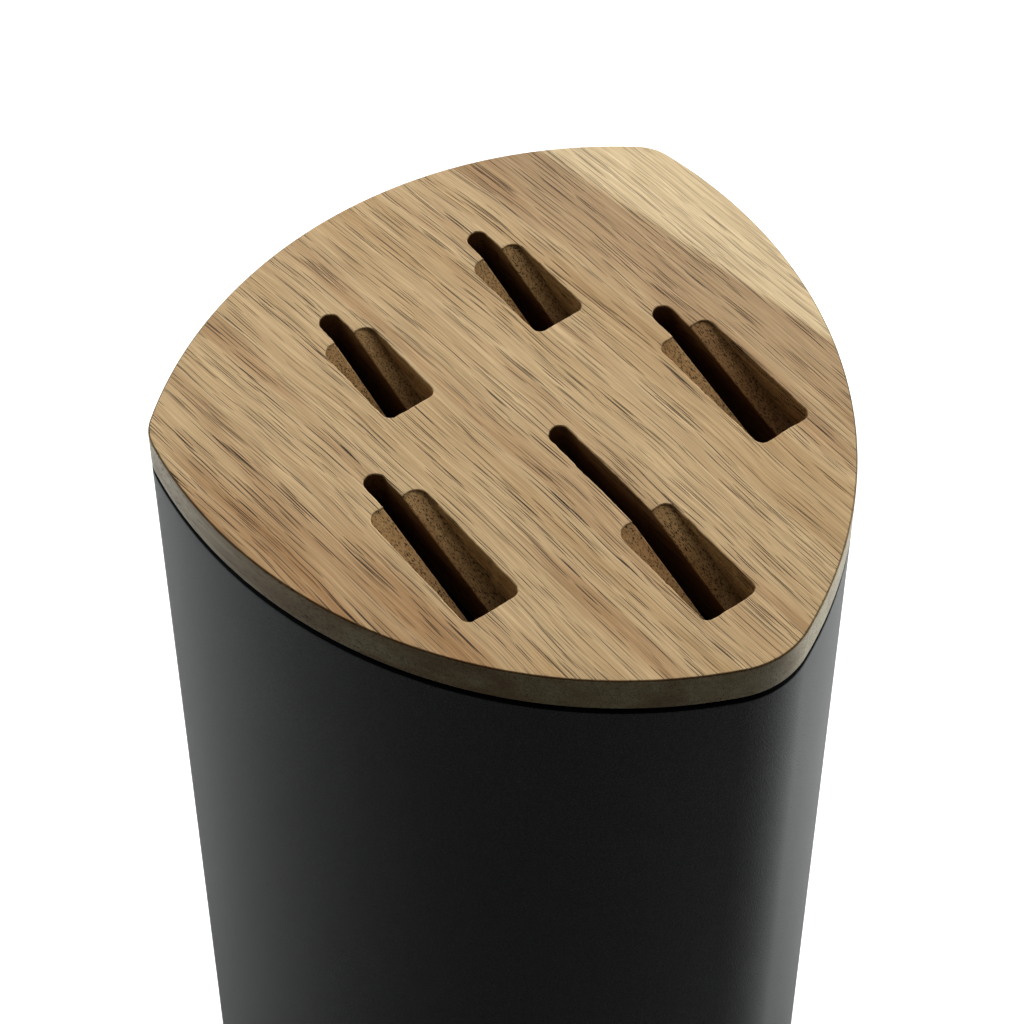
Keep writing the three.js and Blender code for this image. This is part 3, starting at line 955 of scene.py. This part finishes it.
def painted_shadow_paper(bright, dark, near, far):
    """Paper with a painted shadow of the block: dark in front of the block, rising to bright behind it."""
    material, shader = matt_paper("bounce_paper")
    tree = material.node_tree
    spot = tree.nodes.new("ShaderNodeTexCoord")
    along = tree.nodes.new("ShaderNodeVectorMath")
    along.operation = "DOT_PRODUCT"
    along.inputs[1].default_value = AWAY + RIGHT * 0.2
    tree.links.new(spot.outputs["Object"], along.inputs[0])
    fade = tree.nodes.new("ShaderNodeMapRange")
    fade.interpolation_type = "SMOOTHSTEP"
    for socket, value in zip(("From Min", "From Max", "To Min", "To Max"), (near, far, dark, bright)):
        fade.inputs[socket].default_value = value
    tree.links.new(along.outputs["Value"], fade.inputs["Value"])
    tree.links.new(fade.outputs["Result"], shader.inputs["Base Color"])
    return material


def stage_disc(name, radius, z, material):
    mesh = bpy.data.meshes.new(name)
    angles = np.linspace(0, 2 * math.pi, DISC_SIDES, endpoint=False)
    rim = [(radius * math.cos(a), radius * math.sin(a), z) for a in angles]
    mesh.from_pydata(rim, [], [list(range(DISC_SIDES))])
    mesh.materials.append(material)
    disc = bpy.data.objects.new(name, mesh)
    bpy.context.scene.collection.objects.link(disc)
    return disc


def stage_dome(name, radius, material):
    bpy.ops.mesh.primitive_uv_sphere_add(segments=48, ring_count=24, radius=radius)
    dome = bpy.context.active_object
    dome.name = name
    dome.data.materials.append(material)
    dome.data.shade_smooth()
    return dome


def only_for_camera(piece):
    """Shown behind the block, but neither lights it nor shades it."""
    piece.visible_diffuse = False
    piece.visible_glossy = False
    piece.visible_transmission = False
    piece.visible_shadow = False


def softbox(name, spot, aim, size, power, tone):
    """An area light at a place as seen from the camera, aimed at a point on the block's axis."""
    right, away, up = spot
    where = RIGHT * right + AWAY * away + UP * up
    data = bpy.data.lights.new(name, "AREA")
    data.shape = "RECTANGLE"
    data.size, data.size_y = size
    data.energy = power
    data.color = tone
    light = bpy.data.objects.new(name, data)
    light.location = where
    light.rotation_euler = (UP * aim - where).to_track_quat("-Z", "Y").to_euler()
    light.visible_camera = False
    bpy.context.scene.collection.objects.link(light)


only_for_camera(stage_dome("backdrop", DOME_RADIUS, backdrop_white(DOME_GLOW)))
only_for_camera(stage_disc("floor", FLOOR_RADIUS, 0.0, floor_white(FLOOR_SHADE, FLOOR_GLOW)))
# The block is lit by this paper, which the camera doesn't see, and not by the pale floor; its dark front is
# the block's painted shadow.
paper = painted_shadow_paper(bright=0.85, dark=0.08, near=-0.17, far=0.12)
stage_disc("bounce", PAPER_RADIUS, -PAPER_SINK, paper).visible_camera = False
for settings in SOFTBOXES:
    softbox(*settings)

world = bpy.data.worlds.new("studio_fill")
bpy.context.scene.world = world
world.use_nodes = True
background = world.node_tree.nodes["Background"]
background.inputs["Color"].default_value = (1.0, 1.0, 1.0, 1.0)
background.inputs["Strength"].default_value = FILL_STRENGTH

# ---- Camera ----
SENSOR_WIDTH = 36.0
FOCAL_LENGTH = 123.047
LOOK_DOWN = math.radians(51.467)
FACE_CENTRE = Vector((0.0, 0.0, BOARD_TOP * MM))
CAMERA_OFFSET = Vector((-0.2909, -0.3670, 0.5583))  # from the middle of the lid's face

camera_data = bpy.data.cameras.new("camera")
camera_data.sensor_width = SENSOR_WIDTH
camera_data.lens = FOCAL_LENGTH
camera = bpy.data.objects.new("camera", camera_data)
camera.location = FACE_CENTRE + CAMERA_OFFSET
camera.rotation_euler = (math.pi / 2 - LOOK_DOWN, 0.0, -VIEW_TURN)
bpy.context.scene.collection.objects.link(camera)
bpy.context.scene.camera = camera

view = bpy.context.scene.view_settings
view.view_transform = "Standard"
view.look = "None"
view.exposure = 0.0
view.gamma = 1.0
